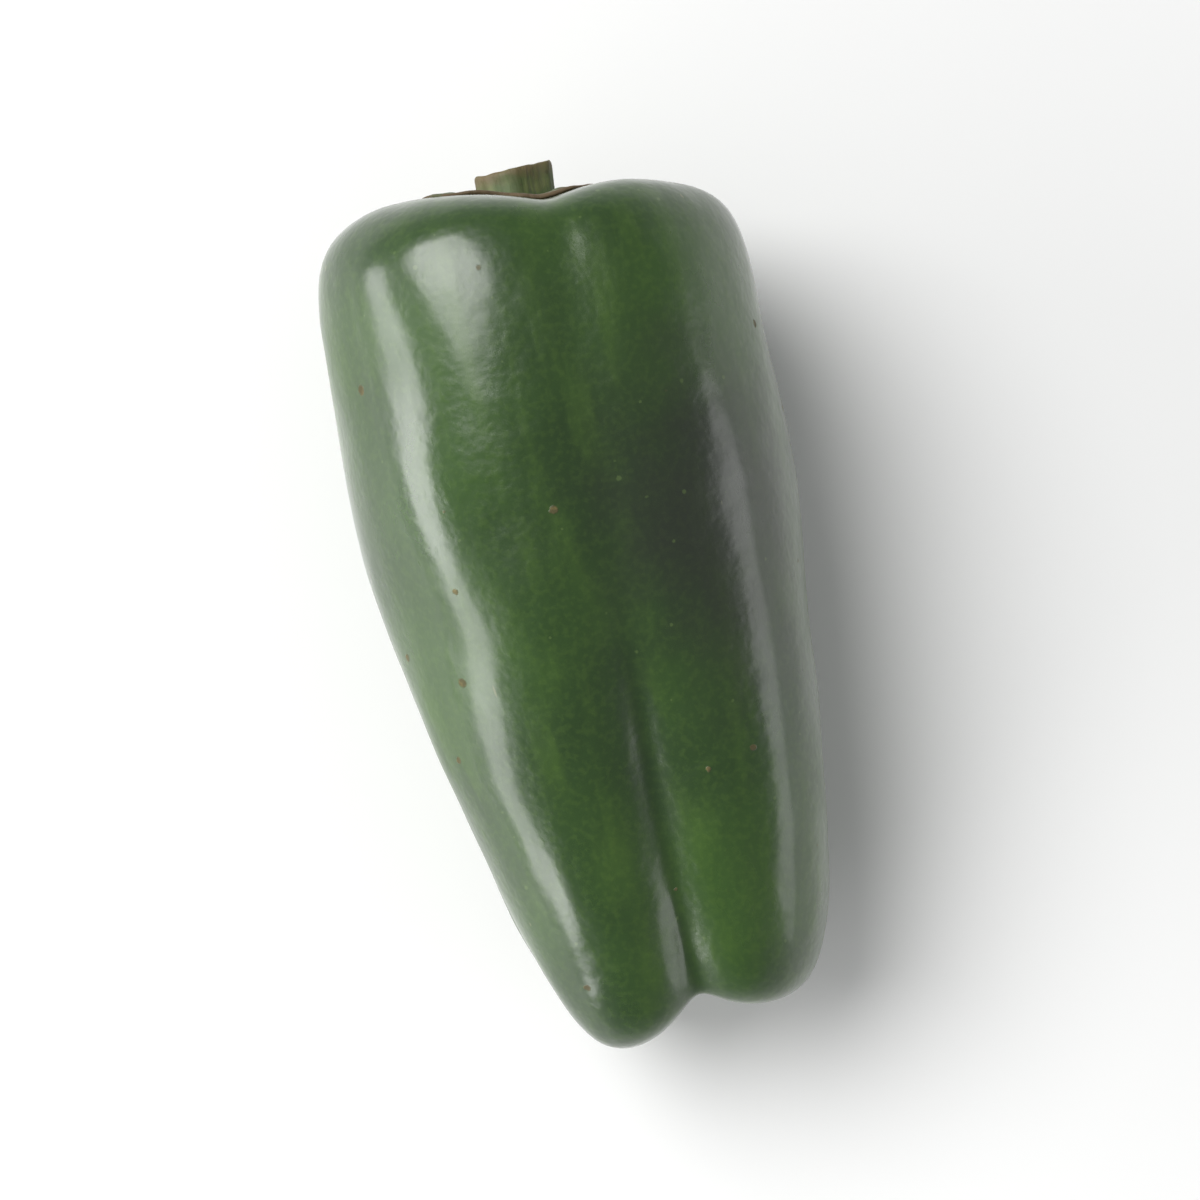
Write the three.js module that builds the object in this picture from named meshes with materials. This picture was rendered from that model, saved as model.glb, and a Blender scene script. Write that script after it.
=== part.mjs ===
// A small tapered green pepper lying on its side. Millimetres, +Z up.
//
// Each piece is shaped in the fruit's own frame: the axis runs along +Z from the blossom end to the
// stem end, and the side that will lie uppermost faces -Y. The finished pepper is then laid down on
// the two lobes at its back, with the stem end towards +Y.

import * as THREE from 'three';
import { ConvexGeometry } from 'three/addons/geometries/ConvexGeometry.js';
import { ImprovedNoise } from 'three/addons/math/ImprovedNoise.js';

const { degToRad, smoothstep, lerp } = THREE.MathUtils;

// Fruit: the outline from the blossom end up to the stem end
const fruitLength = 82;
const shoulderWidth = 45; // widest place, seen from the front
const shoulderThickness = 42; // the same place, front to back
const shoulderDrop = 18; // from the shoulder crest down to the widest place
const middleWidth = 41;
const noseWidth = 30.5;
const noseRise = 8; // from the blossom end up to the ring of noseWidth
const noseRimRadius = 8; // the ring on which the lobes' tips stand out
const dimpleDepth = 3.5;
const crestRadius = 14.5;
const cavityDepth = 5.5;
const shoulderFullness = 0.45; // how far the outline's handles reach over the shoulder...
const cavityFullness = 0.5; // ...and into the hollow at the stem end, as a share of the distance
const flankFullness = 0.4; // ...and everywhere else

// Fruit: furrows between the four lobes, and the unevenness of growth
const furrowSpread = 18; // degrees from a furrow's line to where it has mostly risen out...
const furrowSpreadRadius = 22; // ...at this radius, and wider nearer the axis
const furrowSharpness = 1.2; // 1 folds the furrow's line to a crease, 2 rounds it out
const noseFurrowReach = 74; // how far up from the blossom end the furrows stay deep
const crestFurrowReach = 26; // how far down from the crest they do
const dimpleSmoothing = 7; // the furrows die out inside this radius at the blossom end
const cavitySmoothing = 5; // at the stem end they start here and are full at the crest
const dentDepth = 0.9;
const dentSpan = 17;
const bow = -0.8; // sideways bend of the axis at half length, minus to the left
const tallShoulder = 1.6; // rise of the tallest shoulder above the mean
const longTip = 0.9; // reach of the longest lobe tip below the mean
const endUnevenness = 26; // how far from each end that difference dies out
const restPress = 0.55; // how deeply the skin is pressed flat where the fruit lies on it

// Calyx and stem
const seatGap = 0.3; // between fruit and calyx, and between calyx and stem
const calyxRadius = 12.6;
const calyxTeeth = 6;
const toothDepth = 1.2;
const toothWander = 0.9; // how unevenly the teeth are spaced, in radians of their wave
const edgeWander = 1.6; // radius of the round path through the noise that makes the edge lopsided
const edgeLevel = 0.5; // height of that path in the noise
const calyxEdgeThickness = 0.8;
const calyxMiddleThickness = 1.4;
const ribHeight = 0.5;
const calyxCoveReach = 2.2; // from the flat at the middle of the calyx out to its ribbed slope
const stemSeatMargin = 1.1; // flat of the calyx around the foot of the stem
const stemFootRadius = 4.4;
const stemRadius = 3.6;
const stemLength = 5.2;
const stemFlareLength = 2.6;
const stemRidges = 5;
const stemRidgeHeight = 0.35;
const stemLean = 0.9; // sideways shift of the cut end
const cutHollow = 0.35; // how far the pith has shrunk into the cut face
const cutRingShares = [0.75, 0.4]; // rings on the cut face, as shares of its radius
const footRingShare = 0.5; // the ring on the foot's flat

// Facets around and along each piece
const fruitSides = 72;
const calyxSides = 70;
const calyxSlopeRings = 6;
const stemSides = 30;
const stemRings = 7;

// Angles are in degrees about the axis, with the front at -90 and the right side at 0. The twist is
// how far a furrow wanders between the stem end and the blossom end. Depths are given at the
// blossom end, along the flank and at the shoulder crest.
const furrows = [
  { angle: -75, twist: -10, nose: 5.4, flank: 1.1, crest: 2.0 },
  { angle: 9, twist: 7, nose: 3.3, flank: 0.8, crest: 2.8 },
  { angle: 96, twist: -5, nose: 3.6, flank: 1.2, crest: 3.1 },
  { angle: 183, twist: 6, nose: 2.9, flank: 0.6, crest: 2.3 },
];
const tallShoulderAngle = -150;
const longTipAngle = -140;

const noise = new ImprovedNoise();

// Two-dimensional curve in (radius, height) from one outline point to the next, leaving and
// arriving along the given directions, with handles that are a share of the distance.
function outlineCurve(start, startWay, end, endWay, handle = flankFullness) {
  const reach = start.distanceTo(end) * handle;
  const leave = start.clone().addScaledVector(startWay, reach);
  const arrive = end.clone().addScaledVector(endWay, -reach);
  return new THREE.CubicBezierCurve(start, leave, arrive, end);
}

function makeOutline() {
  const at = (radius, height) => new THREE.Vector2(radius, height);
  const dimple = at(0, dimpleDepth);
  const noseRim = at(noseRimRadius, 0);
  const nose = at(noseWidth / 2, noseRise);
  const shoulder = at(shoulderWidth / 2, fruitLength - shoulderDrop);
  const middle = at(middleWidth / 2, (nose.y + shoulder.y) / 2);
  const crest = at(crestRadius, fruitLength);
  const cavity = at(0, fruitLength - cavityDepth);

  const outward = at(1, 0);
  const inward = at(-1, 0);
  const upward = at(0, 1);
  const noseWay = middle.clone().sub(noseRim).normalize();
  const middleWay = shoulder.clone().sub(nose).normalize();
  return [
    { curve: outlineCurve(dimple, outward, noseRim, outward), rings: 5 },
    { curve: outlineCurve(noseRim, outward, nose, noseWay), rings: 5 },
    { curve: outlineCurve(nose, noseWay, middle, middleWay), rings: 9 },
    { curve: outlineCurve(middle, middleWay, shoulder, upward), rings: 8 },
    { curve: outlineCurve(shoulder, upward, crest, inward, shoulderFullness), rings: 10 },
    { curve: outlineCurve(crest, inward, cavity, inward, cavityFullness), rings: 12 },
  ];
}

const outline = makeOutline();
const shoulderCurve = outline.at(-2).curve;
const cavityCurve = outline.at(-1).curve;

// How deep one furrow is at a place on the outline and an angle about the axis.
function furrowInset(furrow, radius, height, angle) {
  const nearNose = 1 - smoothstep(height, 0, noseFurrowReach);
  const nearCrest = smoothstep(height, fruitLength - crestFurrowReach, fruitLength);
  const depth = furrow.flank + (furrow.nose - furrow.flank) * nearNose
    + (furrow.crest - furrow.flank) * nearCrest;
  const line = degToRad(furrow.angle + furrow.twist * (1 - height / fruitLength));
  const away = Math.abs(Math.atan2(Math.sin(angle - line), Math.cos(angle - line)));
  const spread = degToRad(furrowSpread) * Math.sqrt(furrowSpreadRadius / Math.max(radius, 1));
  return depth * Math.exp(-((away / spread) ** furrowSharpness));
}

// Height added at the shoulders and tips, because no two lobes grow to the same length.
function endShift(height, angle) {
  const nearCrest = smoothstep(height, fruitLength - endUnevenness, fruitLength);
  const nearNose = 1 - smoothstep(height, 0, endUnevenness);
  return tallShoulder * Math.cos(angle - degToRad(tallShoulderAngle)) * nearCrest
    - longTip * Math.cos(angle - degToRad(longTipAngle)) * nearNose;
}

// A point of the fruit's skin: t runs along one outline curve, angle goes about the axis.
function skinPoint(curve, t, angle) {
  const { x: radius, y: height } = curve.getPointAt(t);
  const way = curve.getTangentAt(t);
  const fade = curve === cavityCurve
    ? smoothstep(radius, cavitySmoothing, crestRadius)
    : smoothstep(radius, 0, dimpleSmoothing);
  let inset = 0;
  for (const furrow of furrows) inset += furrowInset(furrow, radius, height, angle);
  const across = (radius / dentSpan) * Math.cos(angle);
  const front = (radius / dentSpan) * Math.sin(angle);
  inset += dentDepth * noise.noise(across, front, height / dentSpan);
  inset *= fade;
  const reach = radius - inset * way.y;
  return new THREE.Vector3(
    reach * Math.cos(angle) + bow * Math.sin((Math.PI * height) / fruitLength),
    reach * Math.sin(angle) * (shoulderThickness / shoulderWidth),
    height + inset * way.x + endShift(height, angle) * fade,
  );
}

// The skin point moved out along the skin's own normal, which is taken a little off the pole.
function liftedPoint(curve, t, angle, lift) {
  const step = 0.002;
  const near = Math.min(Math.max(t, step), 1 - 2 * step);
  const along = skinPoint(curve, near + step, angle).sub(skinPoint(curve, near - step, angle));
  const around = skinPoint(curve, near, angle + step).sub(skinPoint(curve, near, angle - step));
  const outwards = around.cross(along).normalize();
  return skinPoint(curve, t, angle).addScaledVector(outwards, lift);
}

// A closed skin over rings of points that run from one pole to the other. Every ring turns
// anticlockwise about the way from the first pole to the last.
function closedSkin(firstPole, rings, lastPole) {
  const sides = rings[0].length;
  const corners = [firstPole, ...rings.flat(), lastPole];
  const last = corners.length - 1;
  const corner = (ring, side) => 1 + ring * sides + (side % sides);
  const index = [];
  for (let side = 0; side < sides; side += 1) {
    index.push(0, corner(0, side + 1), corner(0, side));
    for (let ring = 0; ring < rings.length - 1; ring += 1) {
      const a = corner(ring, side);
      const b = corner(ring, side + 1);
      const c = corner(ring + 1, side + 1);
      const d = corner(ring + 1, side);
      index.push(a, b, c, a, c, d);
    }
    index.push(last, corner(rings.length - 1, side), corner(rings.length - 1, side + 1));
  }
  const geometry = new THREE.BufferGeometry().setFromPoints(corners);
  geometry.setIndex(index);
  geometry.computeVertexNormals();
  return geometry;
}

function ringOf(sides, pointAt) {
  return Array.from({ length: sides }, (_, side) => pointAt((2 * Math.PI * side) / sides));
}

function makeFruit() {
  const rings = [];
  outline.forEach(({ curve, rings: count }, piece) => {
    const lastHere = piece === outline.length - 1 ? count - 1 : count;
    for (let ring = 1; ring <= lastHere; ring += 1) {
      rings.push(ringOf(fruitSides, (angle) => skinPoint(curve, ring / count, angle)));
    }
  });
  return closedSkin(skinPoint(outline[0].curve, 0, 0), rings, skinPoint(cavityCurve, 1, 0));
}

// Where an angle lies between the calyx's teeth: 1 along the rib to a tooth, 0 midway between two.
function toothShare(angle) {
  return 0.5 + 0.5 * Math.cos(calyxTeeth * angle + toothWander * Math.sin(2 * angle));
}

// Radius of the calyx's scalloped edge: uneven teeth on a slightly lopsided disc.
function calyxEdge(angle) {
  const [across, front] = [edgeWander * Math.cos(angle), edgeWander * Math.sin(angle)];
  const uneven = noise.noise(across, front, edgeLevel);
  return calyxRadius - toothDepth * (1 - toothShare(angle) + uneven);
}

// The outline curve under a ring of the calyx, and the place along it. A calyx wider than the
// crest drapes over it, on to the shoulder.
function calyxSeat(radius) {
  if (radius <= crestRadius) return [cavityCurve, 1 - radius / crestRadius];
  const pastCrest = (radius / crestRadius - 1) * cavityCurve.getLength();
  return [shoulderCurve, 1 - pastCrest / shoulderCurve.getLength()];
}

// The flat on which the stem stands: wide enough for its foot, and the calyx's middle thickness
// above the skin at its edge.
const calyxBossRadius = stemFootRadius + stemSeatMargin;
const [bossCurve, bossPlace] = calyxSeat(calyxBossRadius);
const calyxTop = bossCurve.getPointAt(bossPlace).y + seatGap + calyxMiddleThickness;

// Radii of the calyx's rings at one angle: round ones on the flat and the cove around it, then
// ones that take on the scalloped outline.
function calyxRadii(angle) {
  const slopeStart = calyxBossRadius + calyxCoveReach;
  const round = [calyxBossRadius / 2, calyxBossRadius, (calyxBossRadius + slopeStart) / 2];
  const slope = Array.from({ length: calyxSlopeRings }, (_, ring) => {
    return lerp(slopeStart, calyxEdge(angle), ring / (calyxSlopeRings - 1));
  });
  return [...round, ...slope];
}

// A point on either face of the calyx.
function calyxPoint(radius, angle, upper) {
  const [curve, t] = calyxSeat(radius);
  if (!upper) return liftedPoint(curve, t, angle, seatGap);
  const spread = radius / calyxEdge(angle);
  const thickness = lerp(calyxMiddleThickness, calyxEdgeThickness, spread);
  const ribRise = ribHeight * toothShare(angle) * Math.sin(Math.PI * spread);
  const point = liftedPoint(curve, t, angle, seatGap + thickness + ribRise);
  const boss = skinPoint(curve, t, angle).setZ(calyxTop);
  const onBoss = 1 - smoothstep(radius, calyxBossRadius, calyxBossRadius + calyxCoveReach);
  return point.lerp(boss, onBoss);
}

function makeCalyx() {
  const order = calyxRadii(0).map((_, ring) => ring);
  const face = (upper) => order.map((ring) => {
    return ringOf(calyxSides, (angle) => calyxPoint(calyxRadii(angle)[ring], angle, upper));
  });
  const under = calyxPoint(0, 0, false);
  const rings = [...face(false), ...face(true).reverse()];
  return closedSkin(under, rings, under.clone().setZ(calyxTop));
}

// Radius of the stem at a height above its foot: a flared foot, then a ridged stalk.
function stemReach(height, angle) {
  const flare = 1 - smoothstep(height, 0, stemFlareLength);
  const ridge = stemRidgeHeight * Math.cos(stemRidges * angle);
  return lerp(stemRadius, stemFootRadius - stemRidgeHeight, flare) + ridge;
}

function makeStem() {
  const foot = calyxTop + seatGap;
  const middle = calyxPoint(0, 0, false);
  const stemPoint = (height, share, angle) => {
    const reach = stemReach(height, angle) * share;
    const lean = stemLean * (height / stemLength) ** 2;
    return new THREE.Vector3(
      middle.x + lean + reach * Math.cos(angle),
      middle.y + reach * Math.sin(angle),
      foot + height - (height === stemLength ? cutHollow * (1 - share * share) : 0),
    );
  };
  const rings = [ringOf(stemSides, (angle) => stemPoint(0, footRingShare, angle))];
  for (let ring = 0; ring <= stemRings; ring += 1) {
    const height = (stemLength * ring) / stemRings;
    rings.push(ringOf(stemSides, (angle) => stemPoint(height, 1, angle)));
  }
  for (const share of cutRingShares) {
    rings.push(ringOf(stemSides, (angle) => stemPoint(stemLength, share, angle)));
  }
  return closedSkin(stemPoint(0, 0, 0), rings, stemPoint(stemLength, 0, 0));
}

function cornersOf(geometry) {
  const position = geometry.getAttribute('position');
  return Array.from({ length: position.count }, (_, i) => {
    return new THREE.Vector3().fromBufferAttribute(position, i);
  });
}

// Centre of mass of a closed mesh: each face makes a thin pyramid with the origin.
function centreOfMass(geometry) {
  const corners = cornersOf(geometry);
  const index = geometry.getIndex().array;
  const centre = new THREE.Vector3();
  let volume = 0;
  for (let i = 0; i < index.length; i += 3) {
    const [a, b, c] = [corners[index[i]], corners[index[i + 1]], corners[index[i + 2]]];
    const share = a.dot(b.clone().cross(c));
    volume += share;
    centre.addScaledVector(a.clone().add(b).add(c), share / 4);
  }
  return centre.divideScalar(volume);
}

// The plane on which the fruit comes to rest on its back: of the flat faces of its hull that lie
// under its centre of mass, the one that faces furthest towards the back.
function restingPlane(fruit) {
  const centre = centreOfMass(fruit);
  const hull = cornersOf(new ConvexGeometry(cornersOf(fruit)));
  const back = new THREE.Vector3(0, 1, 0);
  let resting = null;
  for (let i = 0; i < hull.length; i += 3) {
    const face = new THREE.Triangle(hull[i], hull[i + 1], hull[i + 2]);
    const plane = face.getPlane(new THREE.Plane());
    const under = plane.projectPoint(centre, new THREE.Vector3());
    const better = !resting || plane.normal.dot(back) > resting.normal.dot(back);
    if (face.containsPoint(under) && better) resting = plane;
  }
  return resting;
}

// Moves every corner that reaches nearer to the plane than restPress back onto one flat.
function pressFlat(geometry, plane) {
  const position = geometry.getAttribute('position');
  cornersOf(geometry).forEach((corner, i) => {
    const excess = plane.distanceToPoint(corner) + restPress;
    if (excess <= 0) return;
    corner.addScaledVector(plane.normal, -excess);
    position.setXYZ(i, corner.x, corner.y, corner.z);
  });
  geometry.computeVertexNormals();
}

// Turns the pepper so that its resting flat faces down and its stem end points to +Y, and puts
// the middle of its footprint at the origin.
function layDown(pepper, plane) {
  const up = plane.normal.clone().negate();
  const stemWay = new THREE.Vector3(0, 0, 1).projectOnPlane(up).normalize();
  const right = stemWay.clone().cross(up);
  const frame = new THREE.Matrix4().makeBasis(right, stemWay, up);
  pepper.quaternion.setFromRotationMatrix(frame).invert();
  pepper.updateMatrixWorld(true);
  const box = new THREE.Box3().setFromObject(pepper, true);
  const middle = box.getCenter(new THREE.Vector3());
  pepper.position.set(-middle.x, -middle.y, -box.min.z);
}

function piece(name, geometry, color, roughness) {
  const material = new THREE.MeshStandardMaterial({ color, roughness, metalness: 0 });
  const mesh = new THREE.Mesh(geometry, material);
  mesh.name = name;
  return mesh;
}

function makePepper() {
  const fruit = makeFruit();
  const plane = restingPlane(fruit);
  pressFlat(fruit, plane);
  const pepper = new THREE.Group();
  pepper.add(piece('fruit', fruit, 0x2a4a1c, 0.3));
  pepper.add(piece('calyx', makeCalyx(), 0x4f6238, 0.65));
  pepper.add(piece('stem', makeStem(), 0x75704f, 0.8));
  layDown(pepper, plane);
  const part = new THREE.Group();
  part.add(pepper);
  return part;
}

export default makePepper();
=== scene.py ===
# %% [markdown]
# # A small green pepper, lying on its side
#
# The pepper has three pieces: the fruit with its waxy skin, the green calyx that sits in the hollow
# at the stem end, and the short cut stem. The frame settles where each one is and how big it is.
# Here each piece gets the fine shape and the finish of the grown thing. Lengths are in metres.

# %% Load the frame
import math
from collections import Counter

import bpy
from mathutils import Matrix, Vector


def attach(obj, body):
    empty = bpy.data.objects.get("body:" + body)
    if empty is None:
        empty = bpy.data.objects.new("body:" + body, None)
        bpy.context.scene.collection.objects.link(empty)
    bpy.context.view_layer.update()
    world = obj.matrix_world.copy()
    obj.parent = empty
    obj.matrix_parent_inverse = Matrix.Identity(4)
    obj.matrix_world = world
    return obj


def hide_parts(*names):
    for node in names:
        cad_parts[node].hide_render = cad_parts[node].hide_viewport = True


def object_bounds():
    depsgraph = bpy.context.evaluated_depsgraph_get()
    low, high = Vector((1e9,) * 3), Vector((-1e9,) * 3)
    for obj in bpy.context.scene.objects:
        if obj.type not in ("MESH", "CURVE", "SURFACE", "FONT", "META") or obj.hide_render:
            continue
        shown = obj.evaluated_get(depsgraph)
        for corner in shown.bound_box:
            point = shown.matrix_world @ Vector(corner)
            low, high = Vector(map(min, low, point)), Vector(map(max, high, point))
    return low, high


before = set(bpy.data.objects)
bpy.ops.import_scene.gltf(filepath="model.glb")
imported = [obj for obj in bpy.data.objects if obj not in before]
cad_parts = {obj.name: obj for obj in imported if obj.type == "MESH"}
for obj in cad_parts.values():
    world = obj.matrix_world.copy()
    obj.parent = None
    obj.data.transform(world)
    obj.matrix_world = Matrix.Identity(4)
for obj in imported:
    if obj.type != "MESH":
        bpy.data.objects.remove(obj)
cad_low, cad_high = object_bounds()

MM = 0.001
middle = (cad_low + cad_high) / 2
print("the frame is", [round(side / MM, 1) for side in cad_high - cad_low], "mm")

# %% [markdown]
# ## Small helpers for working as by hand
#
# An operator acts on whatever is selected, and a freshly loaded frame is all selected. So every
# step first makes one piece the only selected and active one. Vertices are then picked by a test on
# their place, which stands in for the box and circle selections of a person at the screen. The
# second cell adds a modifier and applies it at once, and gives the soft fade that groups use.

# %% Selecting pieces and corners
def only(piece):
    """Makes piece the one selected and active object, in object mode."""
    if bpy.context.object and bpy.context.object.mode != "OBJECT":
        bpy.ops.object.mode_set(mode="OBJECT")
    bpy.ops.object.select_all(action="DESELECT")
    piece.select_set(True)
    bpy.context.view_layer.objects.active = piece
    return piece


def pick(piece, test, kind="VERT"):
    """In edit mode on piece, selects just the corners or faces for which test is true."""
    only(piece)
    bpy.ops.object.mode_set(mode="EDIT")
    bpy.ops.mesh.select_mode(type=kind)
    bpy.ops.mesh.select_all(action="DESELECT")
    bpy.ops.object.mode_set(mode="OBJECT")
    parts = piece.data.vertices if kind == "VERT" else piece.data.polygons
    count = 0
    for part in parts:
        part.select = bool(test(part))
        count += part.select
    bpy.ops.object.mode_set(mode="EDIT")
    return count


def leave_edit():
    bpy.ops.object.mode_set(mode="OBJECT")


def report(piece):
    size = [round(side / MM, 1) for side in piece.dimensions]
    print(f"{piece.name}: {len(piece.data.polygons)} faces, {size} mm")


# %% Modifiers and soft edges
subdivisions = 2
relax_share = 0.5


def finish_with(piece, kind, name, **settings):
    """Adds one modifier to piece with the given settings and applies it."""
    only(piece)
    modifier = piece.modifiers.new(name, kind)
    for setting, value in settings.items():
        setattr(modifier, setting, value)
    bpy.ops.object.modifier_apply(modifier=modifier.name)


def subdivide(piece, name):
    """Rounds a coarse cage of quads with a subdivision surface."""
    finish_with(piece, "SUBSURF", name, levels=subdivisions, render_levels=subdivisions)


def relax(piece, name, passes, group=""):
    """Moves each corner half way to the middle of its neighbours, several times over."""
    finish_with(piece, "SMOOTH", name, factor=relax_share, iterations=passes, vertex_group=group)


def fade(value, start, end):
    """0 at start, 1 at end and smooth in between."""
    share = min(max((value - start) / (end - start), 0.0), 1.0)
    return share * share * (3 - 2 * share)


# %% [markdown]
# ## Where the pepper's own axis runs
#
# The fruit lies on two of its lobes, so its axis isn't quite level. The foot of the stem is a flat
# disc square to that axis. Its faces give the axis, and their middle gives a point on it, so the
# calyx and the stem can be modelled upright and then set in place with one matrix. Its three
# directions have to be right-handed: a mirroring matrix would turn both pieces inside out.

# %% Find the axis from the foot of the stem
stem_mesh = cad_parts["stem"].data
foot_normal_limit = -0.97
foot_faces = [face for face in stem_mesh.polygons if face.normal.y < foot_normal_limit]
foot_area = sum(face.area for face in foot_faces)
axis = -sum((face.normal * face.area for face in foot_faces), Vector()).normalized()
foot = sum((face.center * face.area for face in foot_faces), Vector()) / foot_area

across = Vector((0, 0, 1)).cross(axis).normalized()
upward = axis.cross(across)
stand_up = Matrix((across, upward, axis)).transposed()
in_place = Matrix.Translation(foot) @ stand_up.to_4x4()
print("the axis rises", round(math.degrees(math.asin(axis.z)), 2), "degrees towards the stem")
print("turned, not mirrored:", stand_up.determinant() > 0)

# %% [markdown]
# ## The fruit
#
# A pepper grows as a hollow bag of a few lobes, pinched together along furrows that run from the
# calyx to the blossom end. The frame already has that form in flat facets. It could be blown up
# again from a sphere, but the lobes would drift away from the solid that collides and rests on the
# table. So a copy of the facets is merged, turned back from triangles to the quads that a
# subdivision surface likes, and smoothed. What a subdivision can't give comes after it: slow swells
# and small dents, pushed in along the normals and kept off the flat that the fruit lies on.

# %% Merge a copy of the fruit and make it quads
merge_distance = 0.002 * MM
any_angle = math.radians(180)


def merged_copy(node, name):
    """A separate piece with the shape of a CAD node, its loose triangles joined into quads."""
    piece = bpy.data.objects.new(name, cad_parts[node].data.copy())
    piece.data.name = name
    piece.data.materials.clear()
    bpy.context.collection.objects.link(piece)
    pick(piece, lambda corner: True)
    bpy.ops.mesh.remove_doubles(threshold=merge_distance)
    bpy.ops.mesh.tris_convert_to_quads(face_threshold=any_angle, shape_threshold=any_angle)
    leave_edit()
    return piece


fruit = merged_copy("fruit", "pepper_fruit")
quads = sum(len(face.vertices) == 4 for face in fruit.data.polygons)
print("fruit cage:", len(fruit.data.polygons), "faces,", quads, "of them quads")

# %% Find the tip, where the flower was
edge_ends = Counter(end for edge in fruit.data.edges for end in edge.vertices)
poles = [fruit.data.vertices[index].co.copy() for index, _ in edge_ends.most_common(2)]
tip = max(poles, key=lambda pole: (pole - foot).length)
print("the tip is", round((tip - foot).length / MM, 1), "mm from the foot of the stem")

# %% Smooth the cage with a subdivision surface
subdivide(fruit, "smooth skin")
report(fruit)

# %% [markdown]
# Each swell is a Displace modifier with a cloud texture, whose middle grey moves nothing. The
# vertex group "free skin" is 0 on the resting flat and rises to 1 a few millimetres above it, so
# the flat stays flat.

# %% Swells and dents
flat_top = 0.2 * MM
free_above = 5 * MM
middle_grey = 0.5

free_skin = fruit.vertex_groups.new(name="free skin")
for corner in fruit.data.vertices:
    free_skin.add([corner.index], fade(corner.co.z, flat_top, free_above), "REPLACE")


def swell(piece, name, span, height, group):
    """Pushes the surface in and out by a soft cloud pattern, span wide and height deep."""
    pattern = bpy.data.textures.new(name, "CLOUDS")
    pattern.noise_scale = span
    pattern.noise_depth = 1
    finish_with(piece, "DISPLACE", name, texture=pattern, texture_coords="LOCAL",
                strength=height, mid_level=middle_grey, vertex_group=group)


swell(fruit, "broad swells", 15 * MM, 0.35 * MM, "free skin")
swell(fruit, "small dents", 5 * MM, 0.1 * MM, "free skin")
report(fruit)

# %% [markdown]
# Shade is painted into the skin's colour where it dips between the lobes. A copy of the fruit is
# smoothed until its furrows are gone. How far each corner lies below that copy is kept on the fruit
# as the attribute "hollow", which the material reads later to paint that shade.

# %% Measure the hollows
melt_passes = 400
full_hollow = 0.9 * MM

melted = bpy.data.objects.new("melted fruit", fruit.data.copy())
bpy.context.collection.objects.link(melted)
relax(melted, "melt the furrows", melt_passes)
depths = [(soft.co - corner.co).dot(corner.normal)
          for soft, corner in zip(melted.data.vertices, fruit.data.vertices)]
hollow = fruit.data.attributes.new("hollow", "FLOAT", "POINT")
hollow.data.foreach_set("value", [min(max(depth / full_hollow, 0.0), 1.0) for depth in depths])
bpy.data.objects.remove(melted)
print("the deepest hollow is", round(max(depths) / MM, 2), "mm below the smoothed copy")

# %% [markdown]
# Where two lobes meet, the skin folds to a narrow crease that the frame's facets are too coarse
# for. The same hollows steer it: a Displace modifier without a texture pushes every corner in by
# the weight of the group "crease", which is the hollow raised to a power so that only its middle
# line counts. It dies out before the calyx and before the tip, where the lobes run together softly,
# and a Smooth modifier rounds that tip a little more.

# %% Fold the creases between the lobes
crease_depth = 0.7 * MM
crease_power = 2.2
calyx_room = (14 * MM, 19.6 * MM)
tip_room = (9 * MM, 18 * MM)
soft_tip_edge = (6.3 * MM, 11.7 * MM)
soft_tip_passes = 160

crease = fruit.vertex_groups.new(name="crease")
soft_tip = fruit.vertex_groups.new(name="soft tip")
for corner, entry in zip(fruit.data.vertices, hollow.data):
    to_tip = (corner.co - tip).length
    room = fade((corner.co - foot).length, *calyx_room) * fade(to_tip, *tip_room)
    crease.add([corner.index], entry.value ** crease_power * room, "REPLACE")
    soft_tip.add([corner.index], 1 - fade(to_tip, *soft_tip_edge), "REPLACE")
finish_with(fruit, "DISPLACE", "creases", strength=-crease_depth, mid_level=0.0,
            vertex_group="crease")
relax(fruit, "soften the tip", soft_tip_passes, "soft tip")
report(fruit)

# %% [markdown]
# The petals and the style fell off at the tip and left a small hard scar there. It is only a
# millimetre or two wide, about as fine as the mesh is at that place, so pulling out the corner in
# its middle is enough. A few passes of smoothing melt it into the skin, and the material gives it
# its colour and its ragged edge.

# %% Pull out the scar of the flower
scar_edge = (2 * MM, 3 * MM)
scar_reach = 0.4 * MM
scar_pull = 0.55 * MM
scar_passes = 8

tip = min((corner.co for corner in fruit.data.vertices),
          key=lambda place: (place - tip).length).copy()
scar_zone = fruit.vertex_groups.new(name="scar")
for corner in fruit.data.vertices:
    scar_zone.add([corner.index], 1 - fade((corner.co - tip).length, *scar_edge), "REPLACE")
found = pick(fruit, lambda corner: (corner.co - tip).length < scar_reach)
bpy.ops.transform.translate(value=-axis * scar_pull)
print("corners pulled out for the scar:", found)
leave_edit()
relax(fruit, "melt the scar in", scar_passes, "scar")
only(fruit)
bpy.ops.object.shade_smooth()
report(fruit)

# %% [markdown]
# ## The calyx
#
# The calyx is the old base of the flower: a leathery green disc with blunt teeth and a rib running
# out to each. It could be cut from a sheet, but a disc grown ring by ring from the foot of the stem
# follows the way its ribs run. It is modelled upright about the origin, set on the axis, wrapped on
# to the fruit, and only then given its thickness.

# %% Measure the foot and the calyx of the frame
level_slack = 0.05 * MM
foot_radius = max((corner.co - foot).length for corner in stem_mesh.vertices
                  if abs((corner.co - foot).dot(axis)) < level_slack)
calyx_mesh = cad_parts["calyx"].data
calyx_reach = max((corner.co - foot).cross(axis).length for corner in calyx_mesh.vertices)
print("foot radius", round(foot_radius / MM, 2), "mm,",
      "calyx radius", round(calyx_reach / MM, 2), "mm")

# %% Grow the disc ring by ring
calyx_sides = 84
calyx_rings = 8
calyx_sink = 0.3 * MM
seat_margin = 0.9 * MM
seat_inset = 1.2 * MM
tooth_room = 0.9 * MM
seat_radius = foot_radius + seat_margin
mean_edge = calyx_reach - tooth_room


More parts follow.
